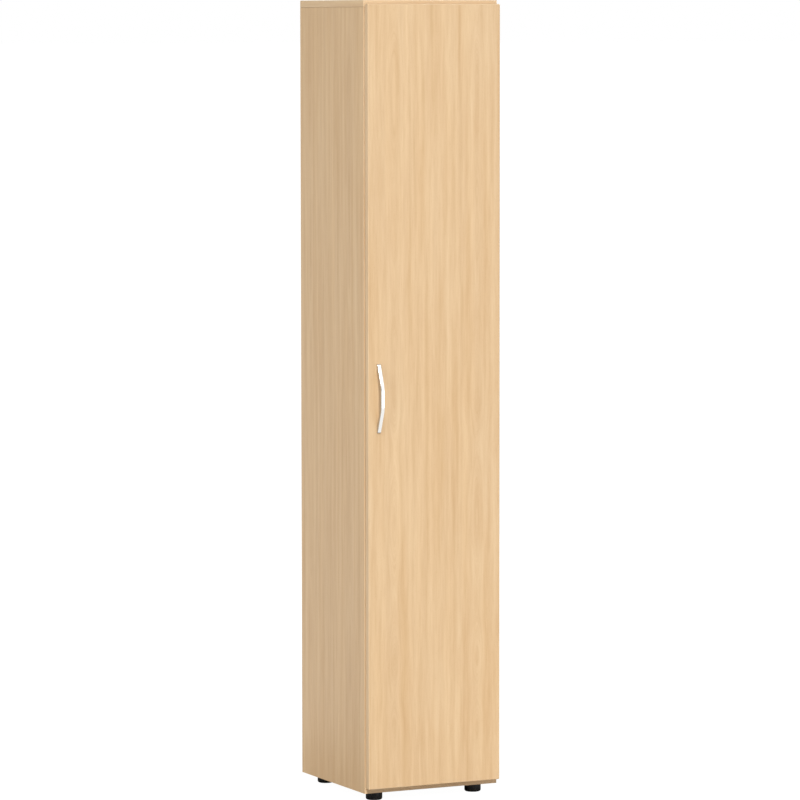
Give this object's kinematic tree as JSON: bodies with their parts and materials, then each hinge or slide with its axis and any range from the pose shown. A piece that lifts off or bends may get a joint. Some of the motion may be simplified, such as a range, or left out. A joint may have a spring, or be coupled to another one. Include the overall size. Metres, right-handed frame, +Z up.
{
  "type": "broom cupboard",
  "caption": "Tall narrow broom cupboard in beech-decor board: hinged full-height door with a bow handle, shelves above a broom space with hooks, round levelling feet.",
  "frame": {"origin": "on the floor, in the middle of the outline of the whole cupboard with its handle", "axes": "+Z up, +X to the right as seen from the front, +Y to the back; the door faces -Y"},
  "size_m": [0.4, 0.451, 2.16],
  "materials": {
    "beech_board": "satin beech-decor melamine with fine upright grain",
    "beech_edging": "satin beech-coloured edge band",
    "dowel_beech": "raw turned beech",
    "satin_metal": "satin silver handle",
    "nickel_steel": "nickel-plated steel",
    "zinc_casting": "dull cast zinc",
    "hook_steel": "grey powder coat",
    "black_plastic": "moulded black plastic",
    "zinc_steel": "zinc-plated steel",
    "clear_rubber": "clear soft plastic"
  },
  "bodies": {
    "carcass": {"back_panel": "beech_board", "back_panel_screws": "nickel_steel", "bottom_edge_band": "beech_edging", "bottom_panel": "beech_board", "broom_hook_left": "hook_steel", "broom_hook_middle": "hook_steel", "broom_hook_right": "hook_steel", "cam_bolts": "zinc_casting", "cam_housings": "zinc_casting", "fixed_shelf": "beech_board", "fixed_shelf_edge_band": "beech_edging", "foot_sleeves": "zinc_steel", "hinge_arm_1": "nickel_steel", "hinge_arm_2": "nickel_steel", "hinge_arm_3": "nickel_steel", "hinge_arm_4": "nickel_steel", "hinge_arm_screws": "nickel_steel", "hinge_plate_1": "nickel_steel", "hinge_plate_2": "nickel_steel", "hinge_plate_3": "nickel_steel", "hinge_plate_4": "nickel_steel", "hinge_plate_screws": "nickel_steel", "hook_rail": "hook_steel", "hook_rail_screws": "nickel_steel", "loose_shelf": "beech_board", "loose_shelf_edge_band": "beech_edging", "shelf_pins": "nickel_steel", "side_edge_band_left": "beech_edging", "side_edge_band_right": "beech_edging", "side_panel_left": "beech_board", "side_panel_right": "beech_board", "top_edge_band_front": "beech_edging", "top_edge_band_left": "beech_edging", "top_edge_band_right": "beech_edging", "top_panel": "beech_board", "wood_dowels": "dowel_beech"},
    "door": {"door_buffers": "clear_rubber", "door_edge_band_bottom": "beech_edging", "door_edge_band_left": "beech_edging", "door_edge_band_right": "beech_edging", "door_edge_band_top": "beech_edging", "door_handle": "satin_metal", "door_panel": "beech_board", "handle_screws": "nickel_steel", "hinge_cup_1": "nickel_steel", "hinge_cup_2": "nickel_steel", "hinge_cup_3": "nickel_steel", "hinge_cup_4": "nickel_steel", "hinge_cup_screws": "nickel_steel", "hinge_pins": "nickel_steel", "hinge_springs": "nickel_steel"},
    "foot_front_left": {"foot_base_front_left": "black_plastic"},
    "stem_front_left": {"foot_stem_front_left": "zinc_steel"},
    "foot_front_right": {"foot_base_front_right": "black_plastic"},
    "stem_front_right": {"foot_stem_front_right": "zinc_steel"},
    "foot_rear_left": {"foot_base_rear_left": "black_plastic"},
    "stem_rear_left": {"foot_stem_rear_left": "zinc_steel"},
    "foot_rear_right": {"foot_base_rear_right": "black_plastic"},
    "stem_rear_right": {"foot_stem_rear_right": "zinc_steel"}
  },
  "joints": [
    {"name": "door_swing", "type": "hinge", "parent": "carcass", "child": "door", "pos_m": [0.1895, -0.188, 1.09425], "axis": [0, 0, 1], "range_deg": [0, 100]},
    {"name": "level_front_left", "type": "slide", "parent": "carcass", "child": "foot_front_left", "axis": [0, 0, -1], "range_m": [0, 0.01]},
    {"name": "turn_front_left", "type": "hinge", "parent": "foot_front_left", "child": "stem_front_left", "pos_m": [-0.15, -0.1285, 0.0227], "axis": [0, 0, -1], "range_deg": [0, 2400]},
    {"name": "level_front_right", "type": "slide", "parent": "carcass", "child": "foot_front_right", "axis": [0, 0, -1], "range_m": [0, 0.01]},
    {"name": "turn_front_right", "type": "hinge", "parent": "foot_front_right", "child": "stem_front_right", "pos_m": [0.15, -0.1285, 0.0227], "axis": [0, 0, -1], "range_deg": [0, 2400]},
    {"name": "level_rear_left", "type": "slide", "parent": "carcass", "child": "foot_rear_left", "axis": [0, 0, -1], "range_m": [0, 0.01]},
    {"name": "turn_rear_left", "type": "hinge", "parent": "foot_rear_left", "child": "stem_rear_left", "pos_m": [-0.15, 0.1795, 0.0227], "axis": [0, 0, -1], "range_deg": [0, 2400]},
    {"name": "level_rear_right", "type": "slide", "parent": "carcass", "child": "foot_rear_right", "axis": [0, 0, -1], "range_m": [0, 0.01]},
    {"name": "turn_rear_right", "type": "hinge", "parent": "foot_rear_right", "child": "stem_rear_right", "pos_m": [0.15, 0.1795, 0.0227], "axis": [0, 0, -1], "range_deg": [0, 2400]}
  ],
  "couplings": [
    {"joint": "turn_front_left", "follows": "level_front_left", "rad_per_m": 4188.8},
    {"joint": "turn_front_right", "follows": "level_front_right", "rad_per_m": 4188.8},
    {"joint": "turn_rear_left", "follows": "level_rear_left", "rad_per_m": 4188.8},
    {"joint": "turn_rear_right", "follows": "level_rear_right", "rad_per_m": 4188.8}
  ]
}
